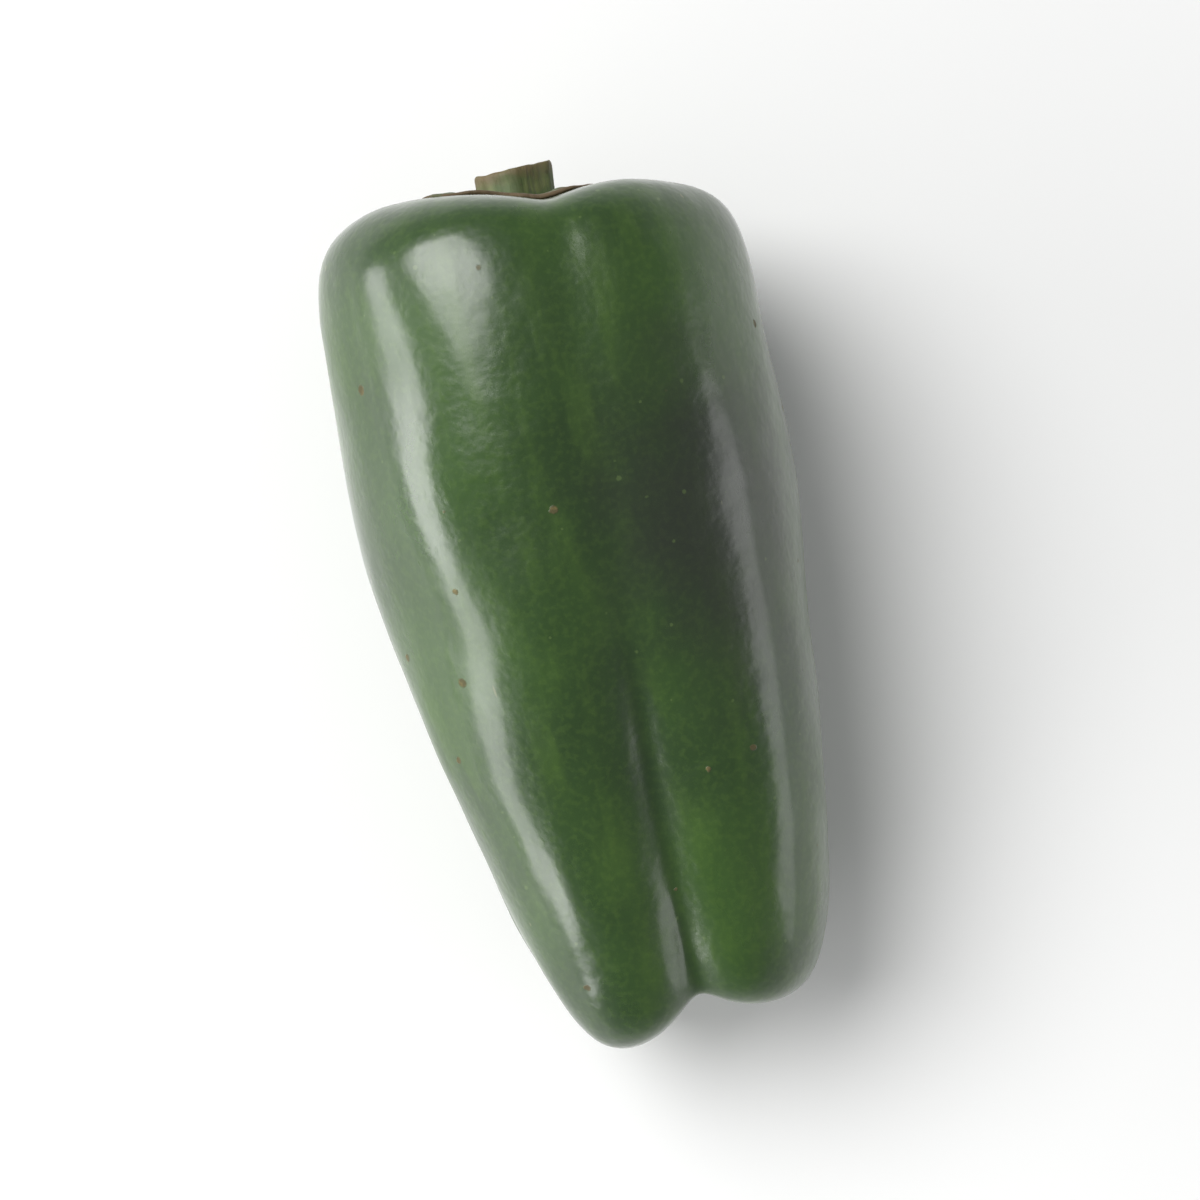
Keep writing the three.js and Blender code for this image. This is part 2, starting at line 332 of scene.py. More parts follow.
def new_disc(name, sides, radius, height):
    """A flat round face at a height above the origin, left in edit mode with all of it selected."""
    bpy.ops.object.select_all(action="DESELECT")
    bpy.ops.mesh.primitive_circle_add(vertices=sides, radius=radius, fill_type="NGON",
                                      location=(0, 0, 0))
    piece = bpy.context.object
    piece.name = piece.data.name = name
    bpy.ops.object.mode_set(mode="EDIT")
    bpy.ops.mesh.select_all(action="SELECT")
    bpy.ops.transform.translate(value=(0, 0, height))
    return piece


def radius_of(corner):
    return math.hypot(corner.co.x, corner.co.y)


calyx = new_disc("pepper_calyx", calyx_sides, seat_radius, -calyx_sink)
bpy.ops.mesh.inset(thickness=seat_inset, depth=0)
bpy.ops.mesh.select_mode(type="VERT")
for ring in range(calyx_rings):
    before = seat_radius + (mean_edge - seat_radius) * ring / calyx_rings
    after = seat_radius + (mean_edge - seat_radius) * (ring + 1) / calyx_rings
    pick(calyx, lambda corner: radius_of(corner) > before - level_slack)
    bpy.ops.mesh.extrude_edges_move(TRANSFORM_OT_translate={"value": (0, 0, 0)})
    bpy.ops.transform.resize(value=(after / before, after / before, 1), center_override=(0, 0, 0))
leave_edit()
rim = calyx.vertex_groups.new(name="rim")
for corner in calyx.data.vertices:
    rim.add([corner.index], min(radius_of(corner) / mean_edge, 1.0), "REPLACE")
report(calyx)

# %% [markdown]
# Teeth and notches come from pulling a few corners of the rim outwards or inwards, and proportional
# editing lets the neighbours follow smoothly. Each entry is an angle in degrees and a pull, above 1
# for a tooth and below 1 for a notch. They are uneven on purpose.

# %% Pull out the teeth
teeth = ((10, 1.04), (59, 1.12), (116, 1.05), (168, 1.10), (215, 1.06), (269, 1.13), (318, 1.09))
notches = ((33, 0.94), (87, 0.90), (142, 0.93), (191, 0.94), (242, 0.90), (293, 0.93), (344, 0.91))
tooth_spread = 2.6 * MM
rim_band = 1.2 * MM


def angle_between(corner, degrees):
    """How many degrees a corner lies from the direction at the given angle about the axis."""
    turn = math.degrees(math.atan2(corner.co.y, corner.co.x)) - degrees
    return abs((turn + 180) % 360 - 180)


half_side = 180 / calyx_sides
for angle, pull in teeth + notches:
    pick(calyx, lambda corner: radius_of(corner) > mean_edge - rim_band
         and angle_between(corner, angle) <= half_side)
    bpy.ops.transform.resize(value=(pull, pull, 1), center_override=(0, 0, 0),
                             use_proportional_edit=True, proportional_edit_falloff="SMOOTH",
                             proportional_size=tooth_spread)
leave_edit()
report(calyx)

# %% Ruffle the outer part a little
ruffled_from = seat_radius + 0.6 * (mean_edge - seat_radius)
ruffle = 0.14 * MM
pick(calyx, lambda corner: radius_of(corner) > ruffled_from)
bpy.ops.transform.vertex_random(offset=ruffle, uniform=1.0, seed=7)
leave_edit()

# %% [markdown]
# The disc is still flat. A Shrinkwrap modifier drops it along its own Z on to the fruit's skin, a
# little above it. The vertex group "slope" keeps the flat under the stem out of that. A Displace
# modifier then lifts it here and there near the rim, as a drying leaf curls, and Solidify gives it
# its thickness, thinner at the rim through the group "body".

# %% Wrap it on to the fruit
seat_blend = 2.6 * MM
skin_gap = 0.1 * MM
body_from, curl_from = 0.55 * calyx_reach, 0.6 * calyx_reach

calyx.matrix_world = in_place
slope = calyx.vertex_groups.new(name="slope")
body = calyx.vertex_groups.new(name="body")
curl = calyx.vertex_groups.new(name="curl")
for corner in calyx.data.vertices:
    reach = radius_of(corner)
    slope.add([corner.index], fade(reach, foot_radius, seat_radius + seat_blend), "REPLACE")
    body.add([corner.index], 1 - fade(reach, body_from, calyx_reach), "REPLACE")
    curl.add([corner.index], fade(reach, curl_from, calyx_reach), "REPLACE")
bpy.context.view_layer.update()
finish_with(calyx, "SHRINKWRAP", "drop on the skin", target=fruit, wrap_method="PROJECT",
            use_project_z=True, use_negative_direction=True, use_positive_direction=True,
            offset=skin_gap, vertex_group="slope")

# %% Curl its rim and thicken it
curl_span, curl_height = 4 * MM, 1.1 * MM
curl_level = 0.35
leather, thin_share = 1.2 * MM, 0.35

curls = bpy.data.textures.new("curls", "CLOUDS")
curls.noise_scale = curl_span
finish_with(calyx, "DISPLACE", "dry curls", texture=curls, texture_coords="LOCAL",
            strength=curl_height, mid_level=curl_level, vertex_group="curl", direction="Z")
finish_with(calyx, "SOLIDIFY", "leathery thickness", thickness=leather, offset=1,
            use_even_offset=True, vertex_group="body", thickness_vertex_group=thin_share)
report(calyx)

# %% Raise a rib along each tooth
rib_rise = 0.5 * MM
rib_spread = 1.5 * MM
rib_start, rib_end = seat_radius + 0.5 * MM, mean_edge - 0.6 * MM
facing_up = 0.2

for angle, _ in teeth:
    pick(calyx, lambda corner: angle_between(corner, angle) <= half_side
         and rib_start < radius_of(corner) < rib_end and corner.normal.z > facing_up)
    bpy.ops.transform.translate(value=axis * rib_rise, use_proportional_edit=True,
                                proportional_edit_falloff="SHARP", proportional_size=rib_spread)
leave_edit()
subdivide(calyx, "smooth calyx")
report(calyx)

# %% [markdown]
# Fibres and veins run outwards on the calyx, and rays do on the cut of the stem, which plain
# coordinates can't follow. So every corner of both keeps a vector called "from axis": the cosine
# and sine of its angle about the axis, and its share of the way out. On the calyx that share comes
# from the group "rim", which has been carried through all the modifiers.

# %% Keep each corner's place about the axis
def keep_place(piece, share_of):
    """Writes the attribute "from axis" of an upright piece; share_of gives a corner's share."""
    kept = piece.data.attributes.new("from axis", "FLOAT_VECTOR", "POINT")
    for corner in piece.data.vertices:
        reach = max(radius_of(corner), merge_distance)
        cosine, sine = corner.co.x / reach, corner.co.y / reach
        kept.data[corner.index].vector = (cosine, sine, share_of(corner))
    print(piece.name, "shares run to", round(max(entry.vector.z for entry in kept.data), 2))


def settle(piece):
    """Sets an upright piece on the pepper's axis for good, and smooths its shading."""
    piece.matrix_world = in_place
    only(piece)
    bpy.ops.object.transform_apply(location=True, rotation=True, scale=True)
    bpy.ops.object.shade_smooth()


rim = calyx.vertex_groups["rim"]
keep_place(calyx, lambda corner: sum(entry.weight for entry in corner.groups
                                     if entry.group == rim.index))
settle(calyx)

# %% [markdown]
# ## The stem
#
# The stem was cut short with a knife. Below the cut it is a ridged stalk with a flared foot; the
# cut face shows a pale fibrous middle inside a darker rind. A disc pulled up in steps, wider or
# narrower at each, gives the flare, and a few insets on the last face give the rind and the rings.
# Each step of the stalk is a share of its height and a share of the foot's width. Each ring of the
# cut is its width and how far it drops, in millimetres.

# %% Pull the stalk up from its foot
stem_sides = 40
stem_sink = 0.35 * MM
stem_rise = max((corner.co - foot).dot(axis) for corner in stem_mesh.vertices)
stalk = ((0.10, 0.97), (0.22, 0.90), (0.38, 0.85), (0.60, 0.82), (0.80, 0.82), (0.94, 0.83),
         (1.0, 0.80))
cut_rings = ((0.12, 0.0), (0.45, 0.1), (0.2, 0.2), (0.6, 0.0), (0.6, -0.1), (0.6, 0.05))

stem = new_disc("pepper_stem", stem_sides, foot_radius, -stem_sink)
bpy.ops.mesh.select_mode(type="FACE")
height, width = -stem_sink, 1.0
for share, wide in stalk:
    rise = share * stem_rise - height
    bpy.ops.mesh.extrude_region_move(TRANSFORM_OT_translate={"value": (0, 0, rise)})
    bpy.ops.transform.resize(value=(wide / width, wide / width, 1))
    height, width = share * stem_rise, wide
for thickness, drop in cut_rings:
    bpy.ops.mesh.inset(thickness=thickness * MM, depth=0)
    bpy.ops.transform.translate(value=(0, 0, -drop * MM))
leave_edit()
report(stem)

# %% Give the cut its own material slot and a torn grain
cut_from = 0.9 * stem_rise
facing_out = 0.5
cut_grain = 0.12 * MM

bpy.ops.object.material_slot_add()
bpy.ops.object.material_slot_add()
cut_faces = pick(stem, lambda face: face.center.z > cut_from and face.normal.z > facing_out, "FACE")
bpy.ops.object.material_slot_assign()
bpy.ops.transform.vertex_random(offset=cut_grain, uniform=1.0, seed=3)
leave_edit()
print(cut_faces, "faces on the cut")

# %% Raise the ridges
ridge_angles = (15, 92, 160, 235, 309)
ridge_half_width = 360 / stem_sides
ridge_from = 0.15 * stem_rise
rind_radius = 0.72 * foot_radius
ridge_pull, ridge_spread = 1.09, 1.4 * MM

for angle in ridge_angles:
    pick(stem, lambda corner: angle_between(corner, angle) < ridge_half_width
         and corner.co.z > ridge_from and radius_of(corner) > rind_radius)
    bpy.ops.transform.resize(value=(ridge_pull, ridge_pull, 1), center_override=(0, 0, 0),
                             use_proportional_edit=True, proportional_edit_falloff="SMOOTH",
                             proportional_size=ridge_spread)
leave_edit()

# %% Slant the cut and lean the stalk
cut_slant = math.radians(5)
slant_from = 0.97 * stem_rise - 0.3 * MM
slant_spread = 3 * MM
lean_shift = Vector((-0.7 * MM, 0, 0))

pick(stem, lambda corner: corner.co.z > slant_from)
bpy.ops.transform.rotate(value=cut_slant, orient_axis="X", center_override=(0, 0, stem_rise),
                         use_proportional_edit=True, proportional_edit_falloff="SMOOTH",
                         proportional_size=slant_spread)
pick(stem, lambda corner: corner.co.z > cut_from)
bpy.ops.transform.translate(value=lean_shift, use_proportional_edit=True,
                            proportional_edit_falloff="SMOOTH", proportional_size=stem_rise)
leave_edit()
subdivide(stem, "smooth stem")
keep_place(stem, lambda corner: (corner.co.xy - lean_shift.xy).length / foot_radius)
settle(stem)
report(stem)

# %% [markdown]
# ## Building materials
#
# Every finish here is a node tree. A few small helpers keep the trees readable: one adds a node
# with its settings and inputs in a single call, the others mix colours and place a node group.

# %% Helpers for node trees
def feed(tree, socket, value):
    """Links value to the socket if it is a socket itself, and sets it as the plain value if not."""
    if isinstance(value, bpy.types.NodeSocket):
        tree.links.new(value, socket)
    else:
        socket.default_value = value


def add_node(tree, kind, inputs=None, **settings):
    """Adds a shader node. An input may be a plain value or the socket that feeds it."""
    made = tree.nodes.new("ShaderNode" + kind)
    for name, value in settings.items():
        setattr(made, name, value)
    for name, value in (inputs or {}).items():
        feed(tree, made.inputs[name], value)
    return made


def maths(tree, operation, first, second):
    return add_node(tree, "Math", {0: first, 1: second}, operation=operation).outputs[0]


def mix_colours(tree, share, first, second):
    mix = add_node(tree, "Mix", {0: share, 6: first, 7: second}, data_type="RGBA")
    return mix.outputs[2]


def lay_on(tree, colour, mask, strength, paint):
    """Lays a paint over a colour, as thickly as strength where the mask is 1."""
    return mix_colours(tree, maths(tree, "MULTIPLY", mask, strength), colour, paint)


def raised(tree, base, mask, amount):
    """A base value with amount added to it where the mask is 1."""
    return maths(tree, "ADD", maths(tree, "MULTIPLY", mask, amount), base)


def between(tree, value, start, end):
    """0 where value is start, 1 where it is end, smooth in between. Start may be the higher."""
    return add_node(tree, "MapRange", {"Value": value, "From Min": start, "From Max": end},
                    interpolation_type="SMOOTHSTEP").outputs["Result"]


def rgb(red, green, blue):
    return (red, green, blue, 1.0)


# %% [markdown]
# ## Effects shared by the finishes
#
# Three effects come back on the skin, the calyx and the stem, so each is built once as a node group
# that puts out a mask from 0 to 1:
#
# - "clouds" is a soft noise, drawn out along a direction by its Stretch. It makes mottle, streaks
#   and fibres.
# - "specks" puts a small ragged dot in some of the cells of a Voronoi pattern, for corky spots.
# - "patch" is one place with a wandering edge, for a dark purplish patch or a scar.

# %% A helper for node groups
def new_mask_group(name, inputs):
    """A node group with the named inputs and one output, Mask. A tuple makes a vector input."""
    group = bpy.data.node_groups.new(name, "ShaderNodeTree")
    for socket, value in inputs.items():
        kind = "NodeSocketVector" if isinstance(value, tuple) else "NodeSocketFloat"
        group.interface.new_socket(socket, in_out="INPUT", socket_type=kind).default_value = value
    group.interface.new_socket("Mask", in_out="OUTPUT", socket_type="NodeSocketFloat")
    enter = group.nodes.new("NodeGroupInput").outputs
    leave = group.nodes.new("NodeGroupOutput").inputs
    return group, enter, leave


def mask_from(tree, group, **inputs):
    """Places a mask group in a tree and gives the socket of its mask."""
    return add_node(tree, "Group", inputs, node_tree=group).outputs["Mask"]


def stretched(tree, place, stretch):
    return add_node(tree, "VectorMath", {0: place, 1: stretch}, operation="MULTIPLY").outputs[0]


# %% Clouds
clouds, enter, leave = new_mask_group("clouds", {
    "Place": (0.0, 0.0, 0.0), "Stretch": (1.0, 1.0, 1.0), "Scale": 100.0, "Detail": 2.0,
    "Low": 0.3, "High": 0.7})
noise = add_node(clouds, "TexNoise", {
    "Vector": stretched(clouds, enter["Place"], enter["Stretch"]),
    "Scale": enter["Scale"], "Detail": enter["Detail"]})
clouds.links.new(between(clouds, noise.outputs["Fac"], enter["Low"], enter["High"]), leave["Mask"])

# %% Specks
rags_per_cell, rag_shake, solid_share = 6.0, 0.07, 0.6

specks, enter, leave = new_mask_group("specks", {
    "Place": (0.0, 0.0, 0.0), "Stretch": (1.0, 1.0, 1.0), "Scale": 200.0, "Share": 0.1,
    "Size": 0.2})
base = stretched(specks, enter["Place"], enter["Stretch"])
ragged = add_node(specks, "TexNoise", {
    "Vector": base, "Scale": maths(specks, "MULTIPLY", enter["Scale"], rags_per_cell),
    "Detail": 2.0})
shake = add_node(specks, "VectorMath", {
    0: ragged.outputs["Color"], 3: maths(specks, "DIVIDE", rag_shake, enter["Scale"])},
    operation="SCALE")
shaken = add_node(specks, "VectorMath", {0: base, 1: shake.outputs[0]}, operation="ADD").outputs[0]
cells = add_node(specks, "TexVoronoi", {"Vector": shaken, "Scale": enter["Scale"]})
chance = add_node(specks, "SeparateColor", {"Color": cells.outputs["Color"]})
present = maths(specks, "LESS_THAN", chance.outputs["Red"], enter["Share"])
edge = maths(specks, "MULTIPLY", enter["Size"],
             maths(specks, "ADD", chance.outputs["Green"], ragged.outputs["Fac"]))
solid_edge = maths(specks, "MULTIPLY", edge, solid_share)
spot = between(specks, cells.outputs["Distance"], edge, solid_edge)
specks.links.new(maths(specks, "MULTIPLY", spot, present), leave["Mask"])

# %% Patch
patch, enter, leave = new_mask_group("patch", {
    "Place": (0.0, 0.0, 0.0), "Centre": (0.0, 0.0, 0.0), "Stretch": (1.0, 1.0, 1.0),
    "Reach": 0.01, "Fade": 0.005, "Wander": 0.002, "Scale": 200.0})
away = add_node(patch, "VectorMath", {0: enter["Place"], 1: enter["Centre"]}, operation="SUBTRACT")
away = add_node(patch, "VectorMath", {0: stretched(patch, away.outputs[0], enter["Stretch"])},
                operation="LENGTH").outputs["Value"]
waves = add_node(patch, "TexNoise", {
    "Vector": enter["Place"], "Scale": enter["Scale"], "Detail": 3.0}).outputs["Fac"]
waves = maths(patch, "MULTIPLY", maths(patch, "SUBTRACT", waves, 0.5), enter["Wander"])
inside = between(patch, maths(patch, "ADD", away, waves),
                 maths(patch, "ADD", enter["Reach"], enter["Fade"]), enter["Reach"])
patch.links.new(inside, leave["Mask"])
print("shared effects:", ", ".join(group.name for group in (clouds, specks, patch)))

# %% [markdown]
# ## The skin
#
# A green pepper's skin is deep green flesh colour under a thin clear wax. The colour is laid on in
# layers, the grown ones in the order they happened as the fruit grew: a deep and a fresher green in
# slow clouds, fine streaks lengthwise, tiny paler cells, painted shade in the furrows, a dark
# purplish patch high on the right side, and the corky dots, scratches and flower scar that came
# last. The wax is the shader's coat.

# %% Start a material
def new_material(name):
    material = bpy.data.materials.new(name)
    material.use_nodes = True
    tree = material.node_tree
    return material, tree, tree.nodes["Principled BSDF"]


def bumped(tree, height, depth, under=None):
    """A Bump node: height from 0 to 1 stands for a depth in metres, laid over the bump under it."""
    bump = add_node(tree, "Bump", {"Height": height, "Distance": depth})
    if under:
        tree.links.new(under, bump.inputs["Normal"])
    return bump.outputs["Normal"]


# %% Colours of the skin
deep_green, fresh_green = rgb(0.013, 0.042, 0.0035), rgb(0.026, 0.072, 0.0065)
streak_green, cell_green = rgb(0.062, 0.130, 0.012), rgb(0.090, 0.165, 0.020)
# Painted shade: the darkest green is laid into the furrows between the lobes.
furrow_shade = rgb(0.007, 0.026, 0.0030)
purple = rgb(0.014, 0.012, 0.013)
lengthwise = (1.0, 0.12, 1.0)
half_sides = (cad_high - cad_low) / 2
# Where a dark purplish patch sits, high on the right side of the fruit.
dark_patch_share = Vector((0.55, 0.10, 0.75))
dark_patch_place = middle + half_sides * dark_patch_share

skin_finish, tree, shader = new_material("waxy green skin")
place = add_node(tree, "TexCoord").outputs["Object"]
# The hollow depth steers the painted shade in the furrows.
furrow_shade_mask = add_node(tree, "Attribute", attribute_name="hollow").outputs["Fac"]

slow = mask_from(tree, clouds, Place=place, Scale=48.0, Detail=2.0, Low=0.36, High=0.66)
streaks = mask_from(tree, clouds, Place=place, Stretch=lengthwise, Scale=380.0, Detail=4.0,
                    Low=0.45, High=0.8)
cells = mask_from(tree, clouds, Place=place, Scale=1500.0, Detail=2.0, Low=0.42, High=0.72)
# A dark purplish patch high on the right side.
dark_patch = mask_from(tree, patch, Place=place, Centre=dark_patch_place, Stretch=(1.3, 0.8, 1.0),
                  Reach=3 * MM, Fade=16 * MM, Wander=12 * MM, Scale=160.0)
colour = mix_colours(tree, slow, deep_green, fresh_green)
colour = lay_on(tree, colour, streaks, 0.35, streak_green)
colour = lay_on(tree, colour, cells, 0.14, cell_green)
# Painted shade, darker where a corner lies deep in a hollow between the lobes.
colour = lay_on(tree, colour, furrow_shade_mask, 0.65, furrow_shade)
colour = lay_on(tree, colour, dark_patch, 0.7, purple)

# %% Marks on the skin
prick_green, halo_green = rgb(0.110, 0.170, 0.045), rgb(0.090, 0.130, 0.022)
scratch_tan = rgb(0.150, 0.150, 0.060)
cork_dark, cork_pale = rgb(0.080, 0.058, 0.018), rgb(0.180, 0.130, 0.042)

pricks = mask_from(tree, specks, Place=place, Scale=520.0, Share=0.40, Size=0.10)
corky = mask_from(tree, specks, Place=place, Scale=210.0, Share=0.6, Size=0.085)
scratches = mask_from(tree, specks, Place=place, Stretch=(1.0, 0.06, 0.9), Scale=400.0,
                      Share=0.8, Size=0.05)
scar = mask_from(tree, patch, Place=place, Centre=tip, Reach=0.9 * MM, Fade=0.7 * MM,
                 Wander=1.2 * MM, Scale=1400.0)
halo = mask_from(tree, patch, Place=place, Centre=tip, Reach=1.6 * MM, Fade=5 * MM,
                 Wander=3 * MM, Scale=500.0)
marks = maths(tree, "MAXIMUM", corky, scar)
cork = mix_colours(tree, cells, cork_dark, cork_pale)
colour = lay_on(tree, colour, halo, 0.45, halo_green)
colour = lay_on(tree, colour, pricks, 0.35, prick_green)
colour = lay_on(tree, colour, scratches, 0.55, scratch_tan)
colour = lay_on(tree, colour, marks, 0.8, cork)
tree.links.new(colour, shader.inputs["Base Color"])

# %% Wax and gloss of the skin
smears = mask_from(tree, clouds, Place=place, Stretch=(1.0, 0.5, 1.0), Scale=120.0, Detail=5.0,
                   Low=0.35, High=0.75)
rough = raised(tree, raised(tree, 0.27, smears, 0.13), marks, 0.35)
tree.links.new(rough, shader.inputs["Roughness"])
wax = raised(tree, raised(tree, 0.75, smears, -0.25), marks, -0.5)
tree.links.new(wax, shader.inputs["Coat Weight"])
shader.inputs["Coat Roughness"].default_value = 0.16

# %% Fine relief of the skin
peel = mask_from(tree, clouds, Place=place, Scale=420.0, Detail=2.0, Low=0.2, High=0.8)
normal = bumped(tree, peel, 0.06 * MM)
normal = bumped(tree, streaks, 0.012 * MM, normal)
normal = bumped(tree, cells, 0.006 * MM, normal)
normal = bumped(tree, marks, 0.04 * MM, normal)
tree.links.new(normal, shader.inputs["Normal"])
fruit.data.materials.append(skin_finish)
print("skin:", len(tree.nodes), "nodes")

# %% [markdown]
# ## The finish of the calyx
#
# The calyx is drier than the fruit: dull grey-green, yellower in blotches, with fine fibres that
# run outwards, and a brown papery rim. The fibres read the vector kept on each corner, stretched so
# that they are long along the radius and seamless all the way round.

# %% Calyx colours and fibres
calyx_green, calyx_yellow = rgb(0.052, 0.088, 0.022), rgb(0.110, 0.140, 0.042)
vein_green, fibre_green = rgb(0.170, 0.190, 0.060), rgb(0.040, 0.062, 0.018)
papery_brown, fleck_brown = rgb(0.115, 0.068, 0.038), rgb(0.075, 0.045, 0.020)
outwards = (1.0, 1.0, 0.35)

calyx_finish, tree, shader = new_material("leathery calyx")
place = add_node(tree, "TexCoord").outputs["Object"]
disc = add_node(tree, "Attribute", attribute_name="from axis").outputs["Vector"]
share = add_node(tree, "SeparateXYZ", {"Vector": disc}).outputs["Z"]

fibres = mask_from(tree, clouds, Place=disc, Stretch=outwards, Scale=11.0, Detail=5.0,
                   Low=0.35, High=0.7)
veins = mask_from(tree, clouds, Place=disc, Stretch=outwards, Scale=3.4, Detail=2.0,
                  Low=0.42, High=0.62)
blotch = mask_from(tree, clouds, Place=place, Scale=260.0, Detail=4.0, Low=0.38, High=0.66)
flecks = mask_from(tree, specks, Place=place, Scale=420.0, Share=0.22, Size=0.13)
uneven_share = raised(tree, raised(tree, share, blotch, 0.10), veins, 0.09)
worn = between(tree, uneven_share, 0.94, 1.08)
colour = mix_colours(tree, blotch, calyx_green, calyx_yellow)
colour = lay_on(tree, colour, veins, 0.4, vein_green)
colour = lay_on(tree, colour, fibres, 0.35, fibre_green)
colour = lay_on(tree, colour, worn, 0.85, papery_brown)
colour = lay_on(tree, colour, flecks, 0.6, fleck_brown)
tree.links.new(colour, shader.inputs["Base Color"])

# %% Dryness and relief of the calyx
grain = mask_from(tree, clouds, Place=place, Scale=900.0, Detail=3.0, Low=0.3, High=0.7)
rough = raised(tree, raised(tree, 0.46, grain, 0.2), worn, 0.2)
tree.links.new(rough, shader.inputs["Roughness"])
normal = bumped(tree, veins, 0.22 * MM)
normal = bumped(tree, fibres, 0.10 * MM, normal)
normal = bumped(tree, grain, 0.03 * MM, normal)
tree.links.new(normal, shader.inputs["Normal"])
calyx.data.materials.append(calyx_finish)
print("calyx:", len(tree.nodes), "nodes")

# %% [markdown]
# ## The finishes of the stem
#
# The stem has two: the green, lengthwise fibred rind, and the cut, which has dried to a beige face
# with a darker, uneven ring just inside the rind and small pores where the vessels end.

# %% Rind of the stem
rind_green, rind_yellow = rgb(0.070, 0.105, 0.024), rgb(0.130, 0.150, 0.045)
rind_dark, rind_dry = rgb(0.040, 0.055, 0.016), rgb(0.150, 0.095, 0.045)
rind_fleck = rgb(0.060, 0.040, 0.018)
cut_middle = foot + axis * stem_rise

rind_finish, tree, shader = new_material("stem rind")
place = add_node(tree, "TexCoord").outputs["Object"]
fibres = mask_from(tree, clouds, Place=place, Stretch=lengthwise, Scale=1300.0, Detail=4.0,
                   Low=0.35, High=0.7)
blotch = mask_from(tree, clouds, Place=place, Scale=420.0, Detail=3.0, Low=0.4, High=0.65)
dry_top = mask_from(tree, patch, Place=place, Centre=cut_middle, Stretch=(0.2, 1.0, 0.2),
                    Reach=0.6 * MM, Fade=1.6 * MM, Wander=1.6 * MM, Scale=900.0)
flecks = mask_from(tree, specks, Place=place, Scale=700.0, Share=0.2, Size=0.14)
colour = mix_colours(tree, blotch, rind_green, rind_yellow)
colour = lay_on(tree, colour, fibres, 0.5, rind_dark)
colour = lay_on(tree, colour, dry_top, 0.75, rind_dry)
colour = lay_on(tree, colour, flecks, 0.5, rind_fleck)
tree.links.new(colour, shader.inputs["Base Color"])
tree.links.new(raised(tree, 0.5, fibres, 0.2), shader.inputs["Roughness"])
tree.links.new(bumped(tree, fibres, 0.12 * MM), shader.inputs["Normal"])
stem.material_slots[0].material = rind_finish
print("stem rind:", len(tree.nodes), "nodes")

# %% Cut face of the stem
fibre_dark, fibre_pale = rgb(0.300, 0.200, 0.088), rgb(0.440, 0.315, 0.155)
heart_brown, ring_brown = rgb(0.210, 0.135, 0.055), rgb(0.105, 0.062, 0.026)
bark_green, torn_pale = rgb(0.110, 0.120, 0.038), rgb(0.480, 0.370, 0.200)
pore_brown = rgb(0.100, 0.060, 0.028)

cut_finish, tree, shader = new_material("cut stem")
place = add_node(tree, "TexCoord").outputs["Object"]
disc = add_node(tree, "Attribute", attribute_name="from axis").outputs["Vector"]
share = add_node(tree, "SeparateXYZ", {"Vector": disc}).outputs["Z"]

rays = mask_from(tree, clouds, Place=disc, Stretch=outwards, Scale=7.0, Detail=4.0,
                 Low=0.36, High=0.66)
torn = mask_from(tree, clouds, Place=place, Scale=1500.0, Detail=5.0, Low=0.3, High=0.75)
wavy = mask_from(tree, clouds, Place=place, Scale=800.0, Detail=3.0, Low=0.3, High=0.7)
pores = mask_from(tree, specks, Place=place, Scale=2200.0, Share=0.4, Size=0.22)
wavy_share = raised(tree, share, wavy, 0.14)
heart = between(tree, wavy_share, 0.34, 0.16)
ring = between(tree, wavy_share, 0.58, 0.70)
bark = between(tree, wavy_share, 0.80, 0.88)
colour = mix_colours(tree, rays, fibre_dark, fibre_pale)
colour = lay_on(tree, colour, heart, 0.55, heart_brown)
colour = lay_on(tree, colour, ring, 0.85, ring_brown)
colour = lay_on(tree, colour, bark, 0.8, bark_green)
colour = lay_on(tree, colour, torn, 0.22, torn_pale)
colour = lay_on(tree, colour, pores, 0.5, pore_brown)
tree.links.new(colour, shader.inputs["Base Color"])
tree.links.new(raised(tree, 0.68, torn, 0.15), shader.inputs["Roughness"])
normal = bumped(tree, rays, 0.16 * MM)
normal = bumped(tree, torn, 0.12 * MM, normal)
normal = bumped(tree, maths(tree, "SUBTRACT", 1.0, pores), 0.08 * MM, normal)
tree.links.new(normal, shader.inputs["Normal"])
stem.material_slots[1].material = cut_finish
print("stem cut:", len(tree.nodes), "nodes")

# %% [markdown]
# ## Fit the pieces to the frame
#
# Each piece rides on the one body, and the frame's part it replaces is hidden. The table also names
# each piece's finish, which nothing reads.

# %% Ride on the body and hide the frame's parts
pieces = ((fruit, "fruit", "skin"), (calyx, "calyx", "calyx"), (stem, "stem", "stem"))
for piece, node, slot in pieces:
    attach(piece, "root")
    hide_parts(node)
print(len(pieces), "pieces fitted to the frame")

# %% [markdown]
# ## The studio
#
# A plain pale floor, a wide soft key light from the upper left, a strip that draws a long
# highlight down the left flank, and a weak fill from the right. The key is a sun with a very wide
# disc: it is as soft as a big panel, but lights the whole floor evenly.

# %% Floor
floor_side = 60
floor_drop = 0.02 * MM
bpy.ops.mesh.primitive_plane_add(size=floor_side, location=(0, 0, -floor_drop))
floor = bpy.context.object
floor.name = "floor"
floor_finish, tree, shader = new_material("pale floor")
shader.inputs["Base Color"].default_value = rgb(0.86, 0.86, 0.85)
shader.inputs["Roughness"].default_value = 0.6
floor.data.materials.append(floor_finish)

# %% Lights
def place_light(light, place, facing):
    """Adds a light to the scene at a place, turned to look along the direction facing."""
    holder = bpy.data.objects.new(light.name, light)
    holder.location = place
    holder.rotation_euler = facing.to_track_quat("-Z", "Y").to_euler()
    bpy.context.collection.objects.link(holder)


def soft_panel(name, place, width, height, power):
    """A rectangular panel of light that faces the pepper."""
    panel = bpy.data.lights.new(name, "AREA")
    panel.shape = "RECTANGLE"
    panel.size, panel.size_y = width, height
    panel.energy = power
    place_light(panel, place, middle - Vector(place))


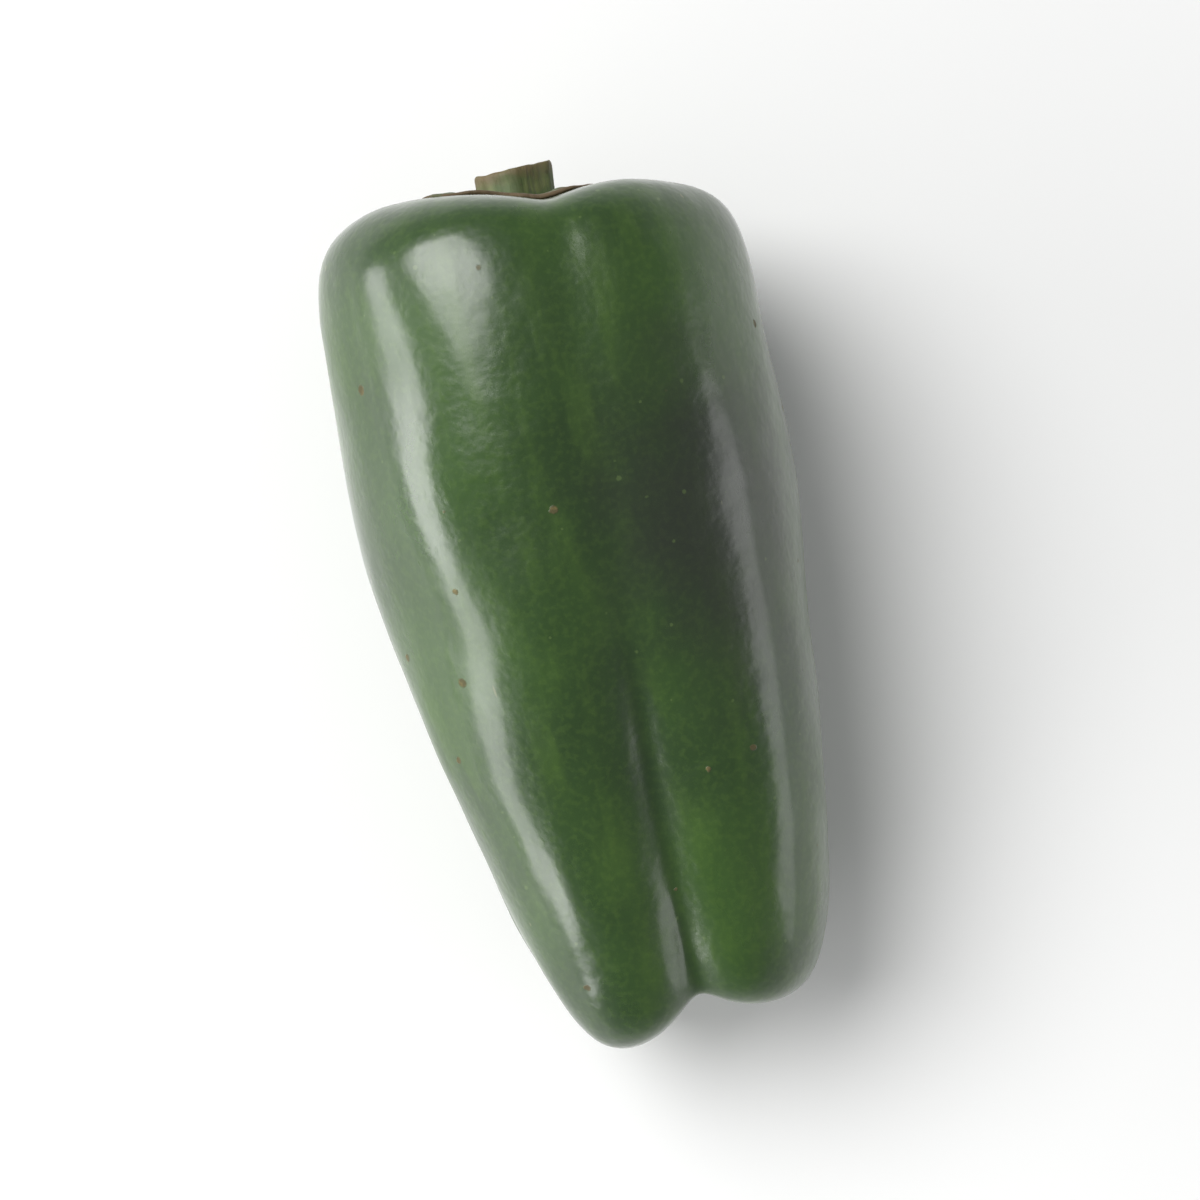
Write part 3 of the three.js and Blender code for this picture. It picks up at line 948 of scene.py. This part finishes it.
soft_panel("left strip", (-0.46, -0.04, 0.15), width=0.6, height=0.14, power=1.7)
soft_panel("fill", (0.6, -0.25, 0.16), width=0.5, height=0.2, power=0.5)

key = bpy.data.lights.new("key", "SUN")
key.energy = 2.6
key.angle = math.radians(42)
key_from = Vector((-0.32, 0.30, 0.60))
place_light(key, key_from, -key_from)
print("lights:", ", ".join(light.name for light in bpy.data.lights))

# %% [markdown]
# The room is a plain glow, pale at the horizon and dimmer overhead, so the floor fades into it and
# the top of the fruit stays deep in colour.

# %% Room
overhead_glow, horizon_glow = 0.30, 0.64
overhead_from = 0.6

world = bpy.data.worlds.new("studio")
world.use_nodes = True
tree = world.node_tree
direction = add_node(tree, "TexCoord").outputs["Generated"]
up = add_node(tree, "SeparateXYZ", {"Vector": direction}).outputs["Z"]
low = between(tree, up, overhead_from, 0.0)
background = tree.nodes["Background"]
background.inputs["Color"].default_value = rgb(0.97, 0.98, 1.0)
tree.links.new(raised(tree, overhead_glow, low, horizon_glow - overhead_glow),
               background.inputs["Strength"])
bpy.context.scene.world = world
bpy.context.scene.view_settings.view_transform = "Standard"

# %% [markdown]
# The camera looks almost straight down on the fruit through a long lens, and is rolled a little so
# that the fruit's stem end leans to the left. It stands as far away as makes the fruit fill the
# wanted share of the picture's height.

# %% Camera
camera_lens = 100.0
camera_elevation = math.radians(87)
lean = math.radians(13)
frame_share = 0.74

camera_data = bpy.data.cameras.new("camera")
camera_data.lens = camera_lens
fruit_length = cad_high.y - cad_low.y
camera_distance = fruit_length / frame_share * camera_lens / camera_data.sensor_width
view_from = Vector((0, -math.cos(camera_elevation), math.sin(camera_elevation)))
aim = (-view_from).to_track_quat("-Z", "Y")
camera = bpy.data.objects.new("camera", camera_data)
camera.location = middle + view_from * camera_distance
camera.rotation_mode = "QUATERNION"
camera.rotation_quaternion = Matrix.Rotation(-lean, 4, view_from).to_quaternion() @ aim
bpy.context.collection.objects.link(camera)
bpy.context.scene.camera = camera
print("the camera is", round(camera_distance, 3), "m away")
